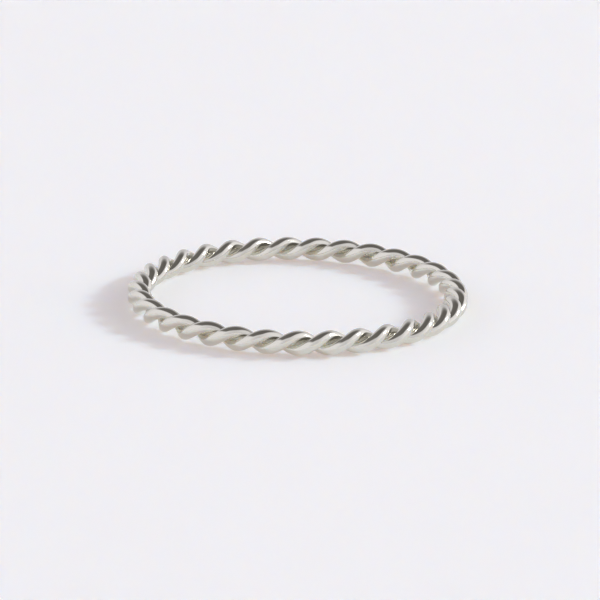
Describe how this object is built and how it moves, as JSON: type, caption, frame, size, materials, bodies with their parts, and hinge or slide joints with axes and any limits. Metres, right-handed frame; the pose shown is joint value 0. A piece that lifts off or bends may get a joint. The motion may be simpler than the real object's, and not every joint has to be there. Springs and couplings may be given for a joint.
{
  "type": "twisted rope ring",
  "caption": "Slim finger ring made of round polished wires twisted together like a rope and closed into a circle.",
  "frame": {"origin": "on the ring's axis, at the lowest point of the wires, where the ring lies on a surface", "axes": "+Z along the ring's axis, up from the surface it lies on; -Y towards the picture's camera, +X to its right"},
  "size_m": [0.0202, 0.0202, 0.0014],
  "materials": {
    "polished_white_metal": "high polish white gold"
  },
  "bodies": {
    "root": {"strand_a": "polished_white_metal", "strand_b": "polished_white_metal"}
  },
  "joints": []
}
